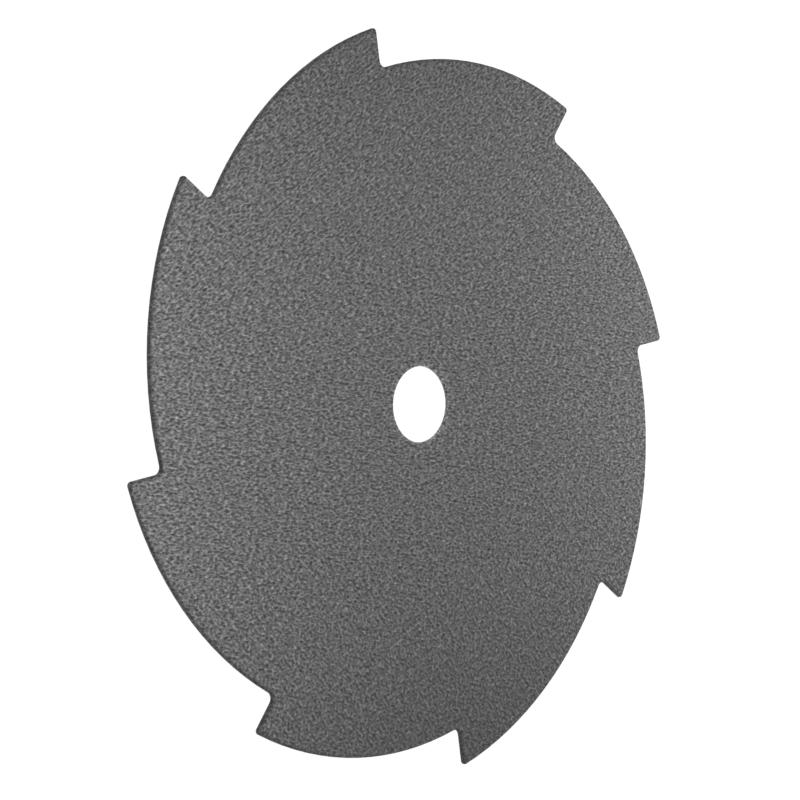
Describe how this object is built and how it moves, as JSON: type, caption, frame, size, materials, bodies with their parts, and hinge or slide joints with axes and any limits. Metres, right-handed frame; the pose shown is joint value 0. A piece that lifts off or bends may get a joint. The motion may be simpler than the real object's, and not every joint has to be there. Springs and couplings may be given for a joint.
{
  "type": "brush cutter blade",
  "caption": "Flat sheet-steel brush cutter blade: a disc with hooked saw teeth round its rim and a plain round arbor bore, under one dark grey textured coating.",
  "frame": {"origin": "on the bore's axis, level with the underside that the blade lies on", "axes": "+Z along the bore's axis, out of the face that the picture shows, from which the teeth point clockwise; +Y through a tooth's tip"},
  "size_m": [0.2496, 0.2496, 0.0015],
  "materials": {
    "coated_steel": "neutral dark grey coating with a fine pebbled texture, semi-matt"
  },
  "bodies": {
    "root": {"blade": "coated_steel"}
  },
  "joints": []
}
